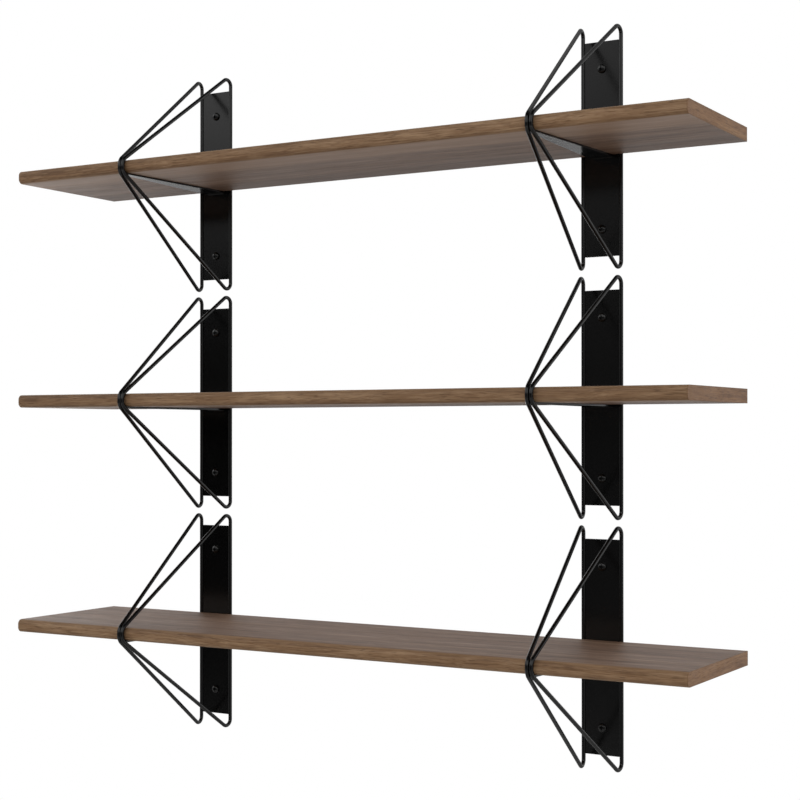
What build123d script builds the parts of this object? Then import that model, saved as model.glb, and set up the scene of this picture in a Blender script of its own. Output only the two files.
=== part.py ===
from build123d import *
import os

os.makedirs("parts", exist_ok=True)

# Wall shelf: three boards on six wire brackets, all sizes in millimetres.
# Origin: on the wall, level with the middle board and halfway along it.
# +X runs along the boards, +Y points into the wall and +Z is up.

# Boards
BOARD_LENGTH = 1070.0
BOARD_DEPTH = 220.0
BOARD_THICKNESS = 19.0
BOARD_BACK = 6.0
BOARD_FRONT_RADIUS = 7.0
BOARD_EASE = 0.4
BOARD_PITCH = 341.0

# Brackets
BRACKET_SPACING = 658.0
PLATE_WIDTH = 50.3
PLATE_HEIGHT = 295.0
PLATE_THICKNESS = 3.0
PLATE_CORNER = 0.8

# Wire loops, measured on the wire's centre line
WIRE_RADIUS = 2.8
WIRE_WALL_OFFSET = 2.8
WIRE_WALL_X = 28.05
WIRE_FRONT_X = 2.92
WIRE_FRONT_Y = 231.2
WIRE_WALL_Z = 172.1
WIRE_FRONT_Z = 8.3
WIRE_WALL_BEND_RADIUS = 9.0
WIRE_FRONT_BEND_RADIUS = 14.0

# Support plates
SUPPORT_THICKNESS = 2.5
SUPPORT_WALL_WIDTH = 35.5
SUPPORT_TIP_WIDTH = 9.6
SUPPORT_TIP_Y = 226.0
WELD_GAP = 0.05

# Wall screws
WALL_SCREW_SPACING = 220.0
WALL_HOLE_RADIUS = 2.75
WALL_NECK_RADIUS = 2.1
WALL_SHANK_RADIUS = 2.5
WALL_SHANK_LENGTH = 33.0
WALL_POINT_LENGTH = 6.0
WALL_HEAD_RADIUS = 6.0
WALL_HEAD_RIM = 1.4
WALL_HEAD_HEIGHT = 4.0
WALL_RECESS_SPAN = 6.4
WALL_RECESS_WIDTH = 1.3
WALL_RECESS_DEPTH = 2.2

# Board screws, countersunk flush into the support plates
BOARD_SCREW_Y = 168.0
BOARD_PILOT_RADIUS = 1.8
BOARD_PILOT_DEPTH = 13.0
BOARD_SHANK_RADIUS = 1.7
BOARD_SHANK_LENGTH = 14.0
BOARD_POINT_LENGTH = 3.0
BOARD_HEAD_RADIUS = 3.3
BOARD_HEAD_DEPTH = 1.6
BOARD_HEAD_GAP = 0.15
BOARD_RECESS_SPAN = 3.6
BOARD_RECESS_WIDTH = 0.8
BOARD_RECESS_DEPTH = 1.2

RECESS_TAPER = 12.0

TIERS = {"upper": BOARD_PITCH, "middle": 0.0, "lower": -BOARD_PITCH}
SIDES = {"left": -BRACKET_SPACING / 2, "right": BRACKET_SPACING / 2}
HANDS = {"left": -1, "right": 1}

HALF_THICKNESS = BOARD_THICKNESS / 2


def loop_plane(bracket_x, board_z, hand):
    """Upright plane of one wire loop: local x runs from the wall to the front, local y is up."""
    run_x = hand * (WIRE_FRONT_X - WIRE_WALL_X)
    run_y = WIRE_WALL_OFFSET - WIRE_FRONT_Y
    start = (bracket_x + hand * WIRE_WALL_X, -WIRE_WALL_OFFSET, board_z)
    return Plane(origin=start, x_dir=(run_x, run_y, 0), z_dir=(run_y, -run_x, 0))


def wire_loop(bracket_x, board_z, hand, radius):
    """Closed bent wire: upright leg at the wall, two slanted legs and a short upright nose."""
    run_x = WIRE_FRONT_X - WIRE_WALL_X
    run_y = WIRE_FRONT_Y - WIRE_WALL_OFFSET
    reach = (run_x**2 + run_y**2) ** 0.5
    plane = loop_plane(bracket_x, board_z, hand)
    with BuildPart() as loop:
        with BuildLine(plane) as path:
            corners = [
                (0, WIRE_WALL_Z),
                (reach, WIRE_FRONT_Z),
                (reach, -WIRE_FRONT_Z),
                (0, -WIRE_WALL_Z),
            ]
            bends = [
                WIRE_WALL_BEND_RADIUS,
                WIRE_FRONT_BEND_RADIUS,
                WIRE_FRONT_BEND_RADIUS,
                WIRE_WALL_BEND_RADIUS,
            ]
            FilletPolyline(*corners, radius=bends, close=True)
        with BuildSketch(Plane(origin=path.line @ 0, z_dir=path.line % 0)):
            Circle(radius)
        sweep()
    return loop.part


def cross_recess(plane, span, width, depth, rise):
    """Tapered cross cut from a screw head's crown, rise above the head's underside."""
    with BuildPart() as cross:
        with BuildSketch(plane.offset(rise)):
            Rectangle(span, width)
            Rectangle(width, span)
        extrude(amount=-depth, taper=RECESS_TAPER)
    return cross.part


def side_plane(plane):
    """Plane through a screw's axis: local y is the axis, pointing out of the head."""
    return Plane(origin=plane.origin, x_dir=plane.x_dir, z_dir=-plane.y_dir)


def wall_screw_part(plane):
    """Domed screw with the head's underside on the plane and a plain neck inside the back plate."""
    dome_rise = WALL_HEAD_HEIGHT - WALL_HEAD_RIM
    recess = cross_recess(
        plane, WALL_RECESS_SPAN, WALL_RECESS_WIDTH, WALL_RECESS_DEPTH, WALL_HEAD_HEIGHT
    )
    with BuildPart() as screw:
        with BuildSketch(side_plane(plane)):
            with BuildLine():
                Polyline(
                    (0, WALL_HEAD_HEIGHT),
                    (0, -WALL_SHANK_LENGTH),
                    (WALL_SHANK_RADIUS, WALL_POINT_LENGTH - WALL_SHANK_LENGTH),
                    (WALL_SHANK_RADIUS, -PLATE_THICKNESS),
                    (WALL_NECK_RADIUS, -PLATE_THICKNESS),
                    (WALL_NECK_RADIUS, 0),
                    (WALL_HEAD_RADIUS, 0),
                    (WALL_HEAD_RADIUS, WALL_HEAD_RIM),
                )
                EllipticalCenterArc(
                    (0, WALL_HEAD_RIM), WALL_HEAD_RADIUS, dome_rise, start_angle=0, arc_size=90
                )
            make_face()
        revolve(axis=Axis(plane.origin, plane.z_dir))
        add(recess, mode=Mode.SUBTRACT)
    return screw.part


def board_screw_part(plane):
    """Countersunk screw with the flat of its head on the plane."""
    recess = cross_recess(plane, BOARD_RECESS_SPAN, BOARD_RECESS_WIDTH, BOARD_RECESS_DEPTH, 0)
    with BuildPart() as screw:
        with BuildSketch(side_plane(plane)):
            with BuildLine():
                Polyline(
                    (0, 0),
                    (0, -BOARD_SHANK_LENGTH),
                    (BOARD_SHANK_RADIUS, BOARD_POINT_LENGTH - BOARD_SHANK_LENGTH),
                    (BOARD_SHANK_RADIUS, -BOARD_HEAD_DEPTH),
                    (BOARD_HEAD_RADIUS, 0),
                    close=True,
                )
            make_face()
        revolve(axis=Axis(plane.origin, plane.z_dir))
        add(recess, mode=Mode.SUBTRACT)
    return screw.part


def bracket_holes(bracket_x, board_z):
    """Wall screw places of one bracket, on the front face of its back plate."""
    half = WALL_SCREW_SPACING / 2
    return {
        "top": (bracket_x, -PLATE_THICKNESS, board_z + half),
        "bottom": (bracket_x, -PLATE_THICKNESS, board_z - half),
    }


def save(part, name):
    """Label one piece and write it to its own file."""
    part.label = name
    export_step(part, f"parts/{name}.step")


for tier, board_z in TIERS.items():
    underside_z = board_z - HALF_THICKNESS

    # Board: square back, rounded front edge, pilot holes for the board screws
    with BuildPart() as board:
        with BuildSketch(Plane(origin=(-BOARD_LENGTH / 2, 0, board_z), x_dir=(0, -1, 0), z_dir=(-1, 0, 0))):
            with Locations((BOARD_BACK + BOARD_DEPTH / 2, 0)):
                Rectangle(BOARD_DEPTH, BOARD_THICKNESS)
        extrude(amount=-BOARD_LENGTH)
        front_edges = board.edges().filter_by(Axis.X).sort_by(Axis.Y)[:2]
        fillet(front_edges, radius=BOARD_FRONT_RADIUS)
        back_edges = board.edges().filter_by(Axis.X).group_by(Axis.Y)[-1]
        end_edges = board.faces().filter_by(Axis.X).edges()
        fillet(back_edges + end_edges, radius=BOARD_EASE)
        with BuildSketch(Plane.XY.offset(underside_z)):
            with Locations(*[(x, -BOARD_SCREW_Y) for x in SIDES.values()]):
                Circle(BOARD_PILOT_RADIUS)
        extrude(amount=BOARD_PILOT_DEPTH, mode=Mode.SUBTRACT)
    save(board.part, f"board_{tier}")

    for side, bracket_x in SIDES.items():
        place = f"{tier}_{side}"

        # Back plate: flat bar against the wall with two screw holes
        with BuildPart() as back_plate:
            with BuildSketch(Plane.XZ):
                with Locations((bracket_x, board_z)):
                    RectangleRounded(PLATE_WIDTH, PLATE_HEIGHT, PLATE_CORNER)
                hole_spots = [(x, z) for x, _, z in bracket_holes(bracket_x, board_z).values()]
                with Locations(*hole_spots):
                    Circle(WALL_HOLE_RADIUS, mode=Mode.SUBTRACT)
            extrude(amount=PLATE_THICKNESS)
        save(back_plate.part, f"back_plate_{place}")

        # Wire loops: one at each edge of the back plate, meeting in front of the board
        weld_cuts = []
        for hand_name, hand in HANDS.items():
            loop = wire_loop(bracket_x, board_z, hand, WIRE_RADIUS)
            save(loop, f"wire_{place}_{hand_name}")
            weld_cuts.append(wire_loop(bracket_x, board_z, hand, WIRE_RADIUS + WELD_GAP))

        # Support plate: tapers from the back plate to its tip between the wires
        with BuildPart() as support_plate:
            with BuildSketch(Plane.XY.offset(underside_z - SUPPORT_THICKNESS)):
                half_wall = SUPPORT_WALL_WIDTH / 2
                half_tip = SUPPORT_TIP_WIDTH / 2
                with BuildLine():
                    Polyline(
                        (bracket_x - half_wall, -PLATE_THICKNESS),
                        (bracket_x - half_tip, -SUPPORT_TIP_Y),
                        (bracket_x + half_tip, -SUPPORT_TIP_Y),
                        (bracket_x + half_wall, -PLATE_THICKNESS),
                        close=True,
                    )
                make_face()
                with Locations((bracket_x, -BOARD_SCREW_Y)):
                    Circle(BOARD_SHANK_RADIUS + BOARD_HEAD_GAP, mode=Mode.SUBTRACT)
            extrude(amount=SUPPORT_THICKNESS)
            with Locations((bracket_x, -BOARD_SCREW_Y, underside_z - SUPPORT_THICKNESS)):
                Cone(
                    BOARD_HEAD_RADIUS + BOARD_HEAD_GAP,
                    BOARD_SHANK_RADIUS + BOARD_HEAD_GAP,
                    BOARD_HEAD_DEPTH,
                    align=(Align.CENTER, Align.CENTER, Align.MIN),
                    mode=Mode.SUBTRACT,
                )
            add(weld_cuts, mode=Mode.SUBTRACT)
        save(support_plate.part, f"support_plate_{place}")

        # Board screw: driven upwards through the support plate
        screw_plane = Plane(
            origin=(bracket_x, -BOARD_SCREW_Y, underside_z - SUPPORT_THICKNESS),
            x_dir=(1, 0, 0),
            z_dir=(0, 0, -1),
        )
        save(board_screw_part(screw_plane), f"board_screw_{place}")

        # Wall screws: driven into the wall through the back plate
        for end, spot in bracket_holes(bracket_x, board_z).items():
            screw_plane = Plane(origin=spot, x_dir=(1, 0, 0), z_dir=(0, -1, 0))
            save(wall_screw_part(screw_plane), f"wall_screw_{place}_{end}")
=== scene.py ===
import math

import bmesh
import bpy
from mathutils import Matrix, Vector


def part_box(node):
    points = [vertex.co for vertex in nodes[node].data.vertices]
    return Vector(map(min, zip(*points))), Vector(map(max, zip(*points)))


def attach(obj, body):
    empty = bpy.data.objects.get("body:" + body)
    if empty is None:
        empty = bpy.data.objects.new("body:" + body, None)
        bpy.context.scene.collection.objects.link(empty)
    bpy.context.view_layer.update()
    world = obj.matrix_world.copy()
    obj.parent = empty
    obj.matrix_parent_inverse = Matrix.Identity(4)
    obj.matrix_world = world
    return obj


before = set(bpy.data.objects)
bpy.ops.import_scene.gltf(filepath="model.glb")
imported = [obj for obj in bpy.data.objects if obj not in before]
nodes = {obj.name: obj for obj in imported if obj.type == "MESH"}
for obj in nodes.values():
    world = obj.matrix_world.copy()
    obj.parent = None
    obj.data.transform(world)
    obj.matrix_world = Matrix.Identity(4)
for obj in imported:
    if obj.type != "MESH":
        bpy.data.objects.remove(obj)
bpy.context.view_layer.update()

scene = bpy.context.scene
TIERS = ("upper", "middle", "lower")
SIDES = ("left", "right")

# Boards, in metres: the middle one is level with the origin, the others one pitch above and below it
board_lo, board_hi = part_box("board_middle")
BOARD_FRONT, BOARD_BACK = board_lo[1], board_hi[1]
BOARD_END = board_hi[0]
HALF_THICKNESS = (board_hi[2] - board_lo[2]) / 2
TIER_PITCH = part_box("board_upper")[0][2] - board_lo[2]


# ---------------------------------------------------------------- node helpers
# Socket numbers of a Mix node in colour mode, where several sockets share a name
MIX_A, MIX_B, MIX_RESULT = 6, 7, 2


class Graph:
    """Small wrapper that makes node trees short to write."""

    def __init__(self, name):
        self.mat = bpy.data.materials.new(name)
        self.mat.use_nodes = True
        self.tree = self.mat.node_tree
        self.tree.nodes.clear()
        out = self.new("ShaderNodeOutputMaterial")
        self.bsdf = self.new("ShaderNodeBsdfPrincipled")
        self.link(self.bsdf.outputs[0], out.inputs["Surface"])

    def link(self, a, b):
        self.tree.links.new(a, b)

    def put(self, socket, value):
        """Links the value when it is a socket, and sets it otherwise."""
        if isinstance(value, bpy.types.NodeSocket):
            self.link(value, socket)
        elif value is not None:
            socket.default_value = value

    def new(self, kind, **props):
        node = self.tree.nodes.new(kind)
        for key, value in props.items():
            setattr(node, key, value)
        return node

    def coords(self):
        return self.new("ShaderNodeTexCoord").outputs["Object"]

    def separate(self, vector):
        """The X, Y and Z sockets of a vector."""
        node = self.new("ShaderNodeSeparateXYZ")
        self.link(vector, node.inputs[0])
        return node.outputs

    def mapping(self, vector, scale=(1, 1, 1), location=(0, 0, 0), rotation=(0, 0, 0)):
        node = self.new("ShaderNodeMapping")
        self.put(node.inputs["Vector"], vector)
        node.inputs["Scale"].default_value = scale
        node.inputs["Location"].default_value = location
        node.inputs["Rotation"].default_value = rotation
        return node.outputs[0]

    def noise(self, vector, scale=1.0, detail=2.0, rough=0.5):
        node = self.new("ShaderNodeTexNoise")
        self.put(node.inputs["Vector"], vector)
        node.inputs["Scale"].default_value = scale
        node.inputs["Detail"].default_value = detail
        node.inputs["Roughness"].default_value = rough
        return node.outputs["Fac"]

    def math(self, op, a, b=None, c=None):
        """Result of a Math node; a value that is None stays at the node's own default."""
        node = self.new("ShaderNodeMath", operation=op)
        self.put(node.inputs[0], a)
        self.put(node.inputs[1], b)
        self.put(node.inputs[2], c)
        return node.outputs[0]

    def times(self, a, b):
        return self.math("MULTIPLY", a, b)

    def ramp(self, fac, lo, hi, out_lo=0.0, out_hi=1.0):
        """out_lo up to lo, out_hi from hi on, and a smooth step between them."""
        node = self.new("ShaderNodeMapRange", clamp=True, interpolation_type="SMOOTHSTEP")
        self.put(node.inputs["Value"], fac)
        node.inputs["From Min"].default_value = lo
        node.inputs["From Max"].default_value = hi
        node.inputs["To Min"].default_value = out_lo
        node.inputs["To Max"].default_value = out_hi
        return node.outputs[0]

    def mix(self, fac, a, b):
        node = self.new("ShaderNodeMix", data_type="RGBA", clamp_factor=True)
        self.put(node.inputs["Factor"], fac)
        self.put(node.inputs[MIX_A], a if isinstance(a, bpy.types.NodeSocket) else (*a, 1.0))
        self.put(node.inputs[MIX_B], b if isinstance(b, bpy.types.NodeSocket) else (*b, 1.0))
        return node.outputs[MIX_RESULT]

    def bump(self, height, strength, distance):
        node = self.new("ShaderNodeBump")
        self.put(node.inputs["Height"], height)
        node.inputs["Strength"].default_value = strength
        node.inputs["Distance"].default_value = distance
        return node.outputs[0]

    def set(self, **values):
        """Fills the shader's sockets by name, with _ for a space."""
        for key, value in values.items():
            self.put(self.bsdf.inputs[key.replace("_", " ")], value)


def srgb(r, g, b):
    """Linear colour from 0-255 display values."""
    def lin(v):
        v /= 255.0
        return v / 12.92 if v <= 0.04045 else ((v + 0.055) / 1.055) ** 2.4
    return (lin(r), lin(g), lin(b))


# ---------------------------------------------------------------- walnut
EDGE_DARK = srgb(110, 80, 54)
EDGE_MID = srgb(146, 113, 82)
EDGE_LIGHT = srgb(176, 143, 110)
EDGE_PORE = srgb(66, 44, 27)
FACE_DARK = srgb(96, 71, 54)
FACE_MID = srgb(131, 102, 82)
FACE_LIGHT = srgb(161, 132, 110)
# Painted light: colour of the pale strip under the front of each board
FACE_PAINTED_LIGHT = srgb(186, 152, 124)
# Pores; also the colour of the painted shade underneath the boards
FACE_PORE_AND_SHADE = srgb(80, 57, 43)
END_DARK = srgb(117, 82, 54)
END_MID = srgb(146, 107, 73)
END_LIGHT = srgb(166, 126, 88)

# Cells of each kind of noise per metre: along the grain, then across it
WANDER_CELLS = (3.0, 9.0, 9.0)
BAND_CELLS = (1.6, 45.0, 45.0)
FIGURE_CELLS = (17.0, 90.0, 90.0)
STREAK_CELLS = (7.0, 260.0, 260.0)
FIBRE_CELLS = (24.0, 780.0, 780.0)
PORE_CELLS = (60.0, 1000.0, 1000.0)
WANDER_DEPTH, WANDER_RISE = 0.03, 0.02


def grain(g, vec, seed):
    """Streaks, fibres and pores, all long in X; returns tone 0-1, fibres and pores.

    Each kind of noise has its own offset, so that they don't line up.
    """
    wander = g.noise(g.mapping(vec, WANDER_CELLS, (seed, 0.0, 0.0)), detail=3.0)
    bend = g.new("ShaderNodeCombineXYZ")
    g.put(bend.inputs[1], g.math("MULTIPLY_ADD", wander, WANDER_DEPTH, -WANDER_DEPTH / 2))
    g.put(bend.inputs[2], g.math("MULTIPLY_ADD", wander, WANDER_RISE, -WANDER_RISE / 2))
    warped = g.new("ShaderNodeVectorMath", operation="ADD")
    g.put(warped.inputs[0], vec)
    g.put(warped.inputs[1], bend.outputs[0])
    line = warped.outputs[0]
    bands = g.noise(g.mapping(line, BAND_CELLS, (seed, 0.4, 7.3)), rough=0.55)
    streaks = g.noise(g.mapping(line, STREAK_CELLS, (seed, 2.2, 0.3)), detail=4.0, rough=0.65)
    fibres = g.noise(g.mapping(line, FIBRE_CELLS, (seed, 5.5, 1.9)), rough=0.6)
    pores = g.noise(g.mapping(line, PORE_CELLS, (seed, 0.0, 0.0)), detail=1.0)
    figure = g.noise(g.mapping(line, FIGURE_CELLS, (seed, 3.0, 9.0)), detail=3.0, rough=0.6)
    tone = g.math("MULTIPLY_ADD", bands, 0.35, g.times(streaks, 0.40))
    tone = g.math("MULTIPLY_ADD", figure, 0.25, tone)
    return tone, fibres, pores


def shade(g, tone, fibres, pores, dark, mid, light, pore):
    """Colour of the grain: three tones, then dark and light fibres, then pores."""
    colour = g.mix(g.ramp(tone, 0.37, 0.50), dark, mid)
    colour = g.mix(g.ramp(tone, 0.50, 0.62), colour, light)
    colour = g.mix(g.ramp(fibres, 0.52, 0.68, 0.0, 0.60), colour, dark)
    colour = g.mix(g.ramp(fibres, 0.32, 0.46, 0.55, 0.0), colour, light)
    return g.mix(g.ramp(pores, 0.56, 0.72, 0.0, 0.45), colour, pore)


def inside(g, value, limit, start, full, share=1.0):
    """Rises from 0 at start inside the limit to share at full inside it."""
    return g.ramp(value, limit - start, limit - full, 0.0, share)


def face_colour(g, obj, y, up):
    """Cooler, quieter veneer; painted shade darkens it underneath, with a painted light strip making it
    palest in front and painted shade making it darkest at the wall.
    """
    flat = g.mapping(obj, (1.0, 1.0, 0.0), (0.31, 0.17, 0.0))
    face = shade(g, *grain(g, flat, 4.2), FACE_DARK, FACE_MID, FACE_LIGHT, FACE_PORE_AND_SHADE)
    below = g.ramp(up, -0.6, -0.4, 1.0, 0.0)
    # Painted light: a pale strip under the front of each board
    painted_light_front_strip = g.times(g.ramp(y, BOARD_FRONT + 0.050, BOARD_FRONT + 0.086, 1.0, 0.0), below)
    # Painted shade: darker under the board near the wall
    painted_shade_wall_strip = inside(g, y, BOARD_BACK, start=0.074, full=0.029, share=0.55)
    # Painted shade over the whole underside
    face = g.mix(g.times(below, 0.24), face, FACE_PORE_AND_SHADE)
    face = g.mix(g.times(painted_light_front_strip, 0.42), face, FACE_PAINTED_LIGHT)
    # Painted shade at the wall, under the board
    return g.mix(g.times(below, painted_shade_wall_strip), face, FACE_PORE_AND_SHADE)


def walnut():
    """Walnut: veneered faces, and plain brown bands with the grain along each edge."""
    g = Graph("walnut_boards")
    obj = g.coords()
    across, _, up = g.separate(g.new("ShaderNodeNewGeometry").outputs["True Normal"])
    x, y, z = g.separate(obj)
    end_mask = g.ramp(g.math("ABSOLUTE", across), 0.6, 0.8)
    face_mask = g.ramp(g.math("ABSOLUTE", up), 0.955, 0.985)

    tone, fibres, pores = grain(g, obj, 1.7)
    edge = shade(g, tone, fibres, pores, EDGE_DARK, EDGE_MID, EDGE_LIGHT, EDGE_PORE)
    face = face_colour(g, obj, y, up)
    turned = g.mapping(obj, rotation=(0.0, 0.0, math.radians(90.0)))
    end = shade(g, *grain(g, turned, 8.8), END_DARK, END_MID, END_LIGHT, EDGE_PORE)

    # Darker lines along the arrises of the ends, and a painted highlight line along the top of the long
    # edge
    board_z = g.math("WRAP", z, TIER_PITCH / 2, -TIER_PITCH / 2)
    rim_z = inside(g, g.math("ABSOLUTE", board_z), HALF_THICKNESS, start=0.0015, full=0.0003)
    rim_y = inside(g, y, BOARD_BACK, start=0.0025, full=0.0008)
    rim_x = inside(g, g.math("ABSOLUTE", x), BOARD_END, start=0.0020, full=0.0004)
    painted_highlight_line = inside(g, board_z, HALF_THICKNESS, start=0.0033, full=0.0011, share=0.30)
    end = g.mix(g.times(g.math("MAXIMUM", rim_z, rim_y), 0.45), end, EDGE_DARK)
    edge = g.mix(g.times(rim_x, 0.35), edge, EDGE_DARK)
    # Painted highlight along the top arris of the long edge
    edge = g.mix(painted_highlight_line, edge, EDGE_LIGHT)

    height = g.math("SUBTRACT", g.times(fibres, 0.5), g.times(pores, 0.5))
    g.set(
        Base_Color=g.mix(face_mask, g.mix(end_mask, edge, end), face),
        Roughness=g.math("MULTIPLY_ADD", face_mask, -0.03, g.ramp(tone, 0.35, 0.65, 0.50, 0.60)),
        Specular_IOR_Level=0.32,
        Normal=g.bump(height, 0.15, 0.0003),
    )
    return g.mat


# ---------------------------------------------------------------- black coats
COAT_BLACK, COAT_ROUGH, COAT_GRAIN = 0.0010, 0.18, 900.0
SCREW_BLACK, SCREW_ROUGH, SCREW_GRAIN = 0.0014, 0.20, 1600.0


def black_coat(name, black, rough, grain_cells, level=0.5, rim=0.5, turn=(0.40, 0.80)):
    """Black finish; its reflection level falls to rim over turn, as the surface turns away."""
    g = Graph(name)
    obj = g.coords()
    peel = g.noise(obj, grain_cells, 3.0, 0.55)
    drift = g.noise(obj, 14.0, 3.0)
    fleck = g.noise(obj, grain_cells * 3.0, 1.0)
    colour = g.mix(g.ramp(drift, 0.35, 0.65), [black * 0.85] * 3, [black * 1.2] * 3)
    colour = g.mix(g.ramp(fleck, 0.70, 0.80, 0.0, 0.25), colour, [black * 2.0] * 3)
    facing = g.new("ShaderNodeLayerWeight").outputs["Facing"]
    g.set(
        Base_Color=colour,
        Roughness=g.ramp(peel, 0.3, 0.7, rough - 0.02, rough + 0.03),
        Specular_IOR_Level=g.ramp(facing, *turn, level, rim),
        Normal=g.bump(peel, 0.02, 0.0001),
    )
    return g.mat


def powder_coat(name, **gloss):
    """The brackets' satin coat."""
    return black_coat(name, COAT_BLACK, COAT_ROUGH, COAT_GRAIN, **gloss)


WOOD = walnut()
STEEL = powder_coat("black_powder_coat")
SUPPORT = powder_coat("black_powder_coat_support", rim=0.0, turn=(0.90, 0.97))
WIRE = powder_coat("black_powder_coat_wire", level=0.43, rim=0.02)
SCREW = black_coat("black_screw_finish", SCREW_BLACK, SCREW_ROUGH, SCREW_GRAIN, rim=0.4)
MATERIALS = {
    "board_screw": SCREW,
    "wall_screw": SCREW,
    "board": WOOD,
    "wire": WIRE,
    "support_plate": SUPPORT,
    "back_plate": STEEL,
}

for name, obj in nodes.items():
    kind = next(kind for kind in MATERIALS if name.startswith(kind))
    obj.data.materials.clear()
    obj.data.materials.append(MATERIALS[kind])


# ---------------------------------------------------------------- pieces made here
SHANK_RADIUS, POINT_LENGTH = 0.0025, 0.0060
THREAD_START, THREAD_END_GAP = 0.0015, 0.0015
THREAD_PITCH, THREAD_HEIGHT, THREAD_HALF_WIDTH, THREAD_STEPS = 0.0018, 0.0004, 0.0005, 20
THREAD_SINK = 0.96
BEAD_RADIUS, BEAD_LENGTH, BEAD_INSET = 0.0011, 0.016, 0.00121
BEAD_RIPPLE, BEAD_RIPPLE_DEPTH = 0.0018, 0.18
BEAD_TIP, BEAD_ROUNDING = 0.2, 0.1
BEAD_SIDES, BEAD_RINGS_PER_RIPPLE = 10, 5
BEAD_HEIGHTS = (-0.110, -0.045, 0.045, 0.110)


def new_piece(name, mesh, mat, place=(0.0, 0.0, 0.0)):
    """Adds a piece that rides with the shelf."""
    piece = bpy.data.objects.new(name, mesh)
    piece.location = place
    scene.collection.objects.link(piece)
    if not mesh.materials:
        mesh.materials.append(mat)
    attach(piece, "root")


def skin(bm, rings):
    """Faces between neighbouring rings of points, closed at both ends."""
    rows = [[bm.verts.new(point) for point in ring] for ring in rings]
    for row, after in zip(rows, rows[1:]):
        for i in range(len(row)):
            j = (i + 1) % len(row)
            bm.faces.new((row[i], row[j], after[j], after[i]))
    bm.faces.new(rows[0])
    bm.faces.new(rows[-1])
    bmesh.ops.recalc_face_normals(bm, faces=bm.faces)


def thread_mesh(tip):
    """Ridge winding along a wall screw's shank about the Y axis, thinning on the point."""
    end = tip - THREAD_END_GAP
    steps = int((end - THREAD_START) / THREAD_PITCH * THREAD_STEPS)
    rings = []
    for k in range(steps + 1):
        y = THREAD_START + (end - THREAD_START) * k / steps
        angle = 2 * math.pi * k / THREAD_STEPS
        core = SHANK_RADIUS * min(1.0, (tip - y) / POINT_LENGTH)
        foot = core * THREAD_SINK
        crest = core + THREAD_HEIGHT * min(1.0, k / THREAD_STEPS)
        profile = ((foot, -THREAD_HALF_WIDTH), (crest, 0.0), (foot, THREAD_HALF_WIDTH))
        rings.append([(r * math.cos(angle), y + dy, r * math.sin(angle)) for r, dy in profile])
    bm = bmesh.new()
    skin(bm, rings)
    mesh = bpy.data.meshes.new("wall_screw_thread")
    bm.to_mesh(mesh)
    bm.free()
    return mesh


def bead(bm, start, end):
    """Rippled weld bead between two points, with rounded ends."""
    start, end = Vector(start), Vector(end)
    along = (end - start).normalized()
    side = along.orthogonal().normalized()
    up = along.cross(side)
    length = (end - start).length
    count = int(length / BEAD_RIPPLE * BEAD_RINGS_PER_RIPPLE)
    turns = [2 * math.pi * i / BEAD_SIDES for i in range(BEAD_SIDES)]
    rings = []
    for k in range(count + 1):
        t = k / count
        wave = abs(math.sin(math.pi * length * t / BEAD_RIPPLE))
        taper = max(BEAD_TIP, min(1.0, math.sqrt(min(t, 1.0 - t) / BEAD_ROUNDING)))
        r = BEAD_RADIUS * (1.0 - BEAD_RIPPLE_DEPTH * (1.0 - wave)) * taper
        centre = start + along * length * t
        rings.append([centre + side * (r * math.cos(a)) + up * (r * math.sin(a)) for a in turns])
    skin(bm, rings)


def weld_beads(tier, side):
    """Beads in the groove behind each wire leg, and one under the root of the support plate."""
    plate_lo, plate_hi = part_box(f"back_plate_{tier}_{side}")
    support_lo, support_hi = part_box(f"support_plate_{tier}_{side}")
    middle_z = (plate_lo[2] + plate_hi[2]) / 2
    groove_y = plate_hi[1] - BEAD_INSET
    bm = bmesh.new()
    for x in (plate_lo[0] - BEAD_INSET / 2, plate_hi[0] + BEAD_INSET / 2):
        for rise in BEAD_HEIGHTS:
            z = middle_z + rise
            bead(bm, (x, groove_y, z - BEAD_LENGTH / 2), (x, groove_y, z + BEAD_LENGTH / 2))
    root = (plate_lo[1] - BEAD_RADIUS / 3, support_lo[2] - BEAD_RADIUS / 3)
    bead(bm, (support_lo[0] + BEAD_INSET, *root), (support_hi[0] - BEAD_INSET, *root))
    mesh = bpy.data.meshes.new(f"weld_beads_{tier}_{side}")
    bm.to_mesh(mesh)
    bm.free()
    mesh.shade_smooth()
    new_piece(f"weld_beads_{tier}_{side}", mesh, WIRE)


thread = None
for name in sorted(nodes):
    if name.startswith("wall_screw"):
        lo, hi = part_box(name)
        thread = thread or thread_mesh(hi[1])
        place = ((lo[0] + hi[0]) / 2, 0.0, (lo[2] + hi[2]) / 2)
        new_piece(name.replace("wall_screw", "wall_screw_thread"), thread, SCREW, place)
for tier in TIERS:
    for side in SIDES:
        weld_beads(tier, side)


# ---------------------------------------------------------------- floor
FLOOR_RADIUS, FLOOR_Z = 3.2, -1.35
FLOOR_GLOW = 0.42


def make_floor():
    """Pale disc that looks lit to the camera but sends no extra light up to the shelf."""
    mesh = bpy.data.meshes.new("floor")
    bm = bmesh.new()
    bmesh.ops.create_circle(bm, cap_ends=True, segments=128, radius=FLOOR_RADIUS)
    bm.to_mesh(mesh)
    bm.free()
    floor = bpy.data.objects.new("floor", mesh)
    floor.location = (0.0, 0.0, FLOOR_Z)
    scene.collection.objects.link(floor)
    g = Graph("floor_paint")
    g.set(
        Base_Color=g.mix(g.noise(g.coords(), 3.0), (0.80, 0.80, 0.79), (0.84, 0.84, 0.83)),
        Roughness=0.8,
        Emission_Color=(1, 1, 1, 1),
        Emission_Strength=g.times(g.new("ShaderNodeLightPath").outputs["Is Camera Ray"], FLOOR_GLOW),
    )
    mesh.materials.append(g.mat)


make_floor()


# ---------------------------------------------------------------- light
DEGREES = 180.0 / math.pi

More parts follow.
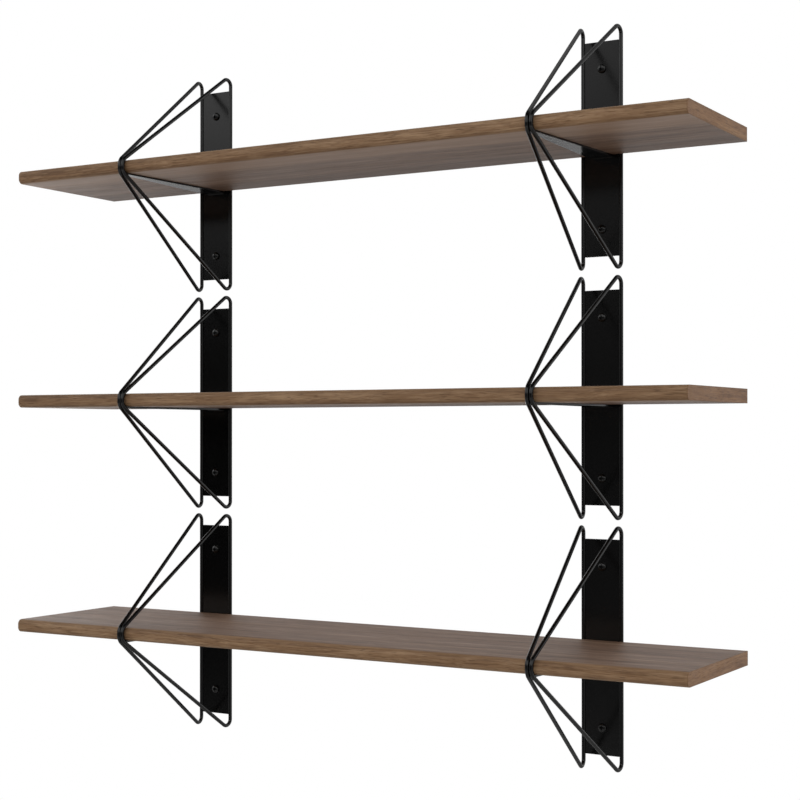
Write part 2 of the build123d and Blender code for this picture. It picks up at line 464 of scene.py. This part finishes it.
# Parts of the surround, in degrees, with azimuth turning from straight in front of the shelf towards +X:
# azimuth from and to, elevation from and to, softness in azimuth and in elevation
LENS_SHADE = (-75.0, 0.0, -16.0, 8.0, 8.0, 3.0)
HIGH_PANEL = (-85.0, 70.0, 9.0, 48.0, 6.0, 1.4)
HIGH_PANEL_GAP = (-29.0, -8.0, 5.0, 10.5, 3.0, 1.5)
HIGH_PANEL_FADE = (-27.0, -8.0, 5.0, 20.0, 5.0, 3.0)
LOW_PANEL = (-85.0, 70.0, -55.0, -22.0, 6.0, 4.0)
LOW_FILL = (-80.0, 60.0, -24.0, -8.5, 6.0, 1.5)
LENS_HAZE = (-27.0, 40.0, -25.0, 8.5, 5.0, 2.0)

# Parts of the backdrop behind the shelf: direction's X from, to and softness, then the same of elevation
BRIGHT_LINE = ((-0.50, -0.20, 0.10), (-3.0, 0.5, 1.0))
DIM_RIGHT_LOW = ((-0.47, -0.36, 0.02), (-15.0, -6.0, 1.5))
DIM_LEFT_LOW = ((-0.638, -0.575, 0.012), (-14.0, -5.0, 1.5))
DIM_LEFT_HIGH = ((-0.615, -0.55, 0.02), (3.0, 11.0, 2.0))


class WorldGraph(Graph):
    """Node helper for the studio surround."""

    def __init__(self, world):
        world.use_nodes = True
        self.tree = world.node_tree
        self.tree.nodes.clear()

    def window(self, value, lo, hi, soft):
        """1 between lo and hi, falling to 0 over soft on each side."""
        rise = self.ramp(value, lo - soft, lo + soft)
        fall = self.ramp(value, hi - soft, hi + soft, 1.0, 0.0)
        return self.times(rise, fall)

    def add(self, base, mask, amount):
        """Base raised by amount where the mask is 1."""
        return self.math("MULTIPLY_ADD", mask, amount, base)

    def cut(self, base, mask, share):
        """Base lowered by a share of itself where the mask is 1."""
        return self.times(base, self.math("MULTIPLY_ADD", mask, -share, 1.0))

    def background(self, strength):
        node = self.new("ShaderNodeBackground")
        node.inputs["Color"].default_value = (1, 1, 1, 1)
        self.put(node.inputs["Strength"], strength)
        return node.outputs[0]


def tent_brightness(g, direction):
    """A pale light tent that is open and dark low in front, as strength by direction."""
    x, y, z = g.separate(direction)
    elevation = g.times(g.math("ARCSINE", z), DEGREES)
    azimuth = g.times(g.math("ARCTAN2", x, g.times(y, -1.0)), DEGREES)
    front = g.ramp(y, -0.12, 0.12, 1.0, 0.0)
    back = g.ramp(y, 0.3, 0.5)

    def patch(az_lo, az_hi, el_lo, el_hi, soft_az, soft_el):
        """Soft-edged rectangle, 1 inside."""
        wide = g.window(azimuth, az_lo, az_hi, soft_az)
        high = g.window(elevation, el_lo, el_hi, soft_el)
        return g.times(wide, high)

    def behind(x_window, elevation_window):
        """Soft-edged rectangle on the backdrop, 1 inside."""
        high = g.window(elevation, *elevation_window)
        wide = g.window(x, *x_window)
        return g.times(g.times(high, wide), back)

    # Dim in front, paler behind the shelf
    tent = g.ramp(y, 0.22, 0.46, 0.05, 0.48)
    tent = g.cut(tent, patch(*LENS_SHADE), share=0.85)

    # The backdrop: bright at the horizon and at the far left, uneven elsewhere
    horizon = g.window(elevation, -4.0, 4.0, 3.0)
    right = g.ramp(x, 0.10, 0.25)
    far_left = g.ramp(x, -0.72, -0.60, 1.0, 0.0)
    not_left = g.ramp(x, -0.37, -0.25)
    tent = g.add(tent, g.times(horizon, back), amount=1.0)
    tent = g.add(tent, behind(*BRIGHT_LINE), amount=2.5)
    tent = g.cut(tent, g.times(right, back), share=0.6)
    tent = g.add(tent, g.times(far_left, back), amount=1.7)
    tent = g.add(tent, g.times(not_left, back), amount=0.42)
    tent = g.cut(tent, behind(*DIM_RIGHT_LOW), share=0.50)
    tent = g.cut(tent, behind(*DIM_LEFT_LOW), share=0.45)
    tent = g.cut(tent, behind(*DIM_LEFT_HIGH), share=0.6)

    # Panels above and below the camera, the upper one dimmer beside the lens
    high = g.times(patch(*HIGH_PANEL), front)
    high = g.cut(high, patch(*HIGH_PANEL_GAP), share=0.95)
    high = g.cut(high, patch(*HIGH_PANEL_FADE), share=0.50)
    tent = g.add(tent, high, amount=1.12)
    tent = g.add(tent, g.times(patch(*LOW_PANEL), front), amount=0.95)
    tent = g.add(tent, patch(*LOW_FILL), amount=0.10)

    # Side walls and a faint haze about the lens
    sides = g.math("ADD", g.ramp(x, 0.62, 0.85), g.ramp(x, -0.92, -0.78, 1.0, 0.0))
    tent = g.add(tent, g.times(sides, g.window(elevation, -30.0, 30.0, 8.0)), amount=0.45)
    return g.add(tent, patch(*LENS_HAZE), amount=0.09)


def make_world():
    """White to the camera; the light tent to everything else."""
    world = bpy.data.worlds.new("studio")
    scene.world = world
    g = WorldGraph(world)
    lit = g.background(tent_brightness(g, g.new("ShaderNodeTexCoord").outputs["Generated"]))
    shown = g.background(1.0)
    pick, out = g.new("ShaderNodeMixShader"), g.new("ShaderNodeOutputWorld")
    g.link(g.new("ShaderNodeLightPath").outputs["Is Camera Ray"], pick.inputs[0])
    g.link(lit, pick.inputs[1])
    g.link(shown, pick.inputs[2])
    g.link(pick.outputs[0], out.inputs[0])


make_world()
scene.view_settings.view_transform = "Standard"
scene.view_settings.look = "None"


# ---------------------------------------------------------------- camera
CAMERA_PLACE = (1.2110, -2.0438, -0.0484)
CAMERA_TURN, CAMERA_TILT = math.radians(30.523), math.radians(0.386)
SENSOR_WIDTH_MM, FOCAL_LENGTH_MM = 36.0, 72.52875
LENS_RISE = 0.0279


def make_camera():
    """Looks to the left of straight ahead, almost level, with the lens raised a little on its plate."""
    data = bpy.data.cameras.new("camera")
    data.sensor_width = SENSOR_WIDTH_MM
    data.lens = FOCAL_LENGTH_MM
    data.shift_y = LENS_RISE
    camera = bpy.data.objects.new("camera", data)
    level = math.cos(CAMERA_TILT)
    look = Vector((-math.sin(CAMERA_TURN) * level, math.cos(CAMERA_TURN) * level, math.sin(CAMERA_TILT)))
    camera.location = CAMERA_PLACE
    camera.rotation_mode = "QUATERNION"
    camera.rotation_quaternion = look.to_track_quat("-Z", "Y")
    scene.collection.objects.link(camera)
    scene.camera = camera


make_camera()
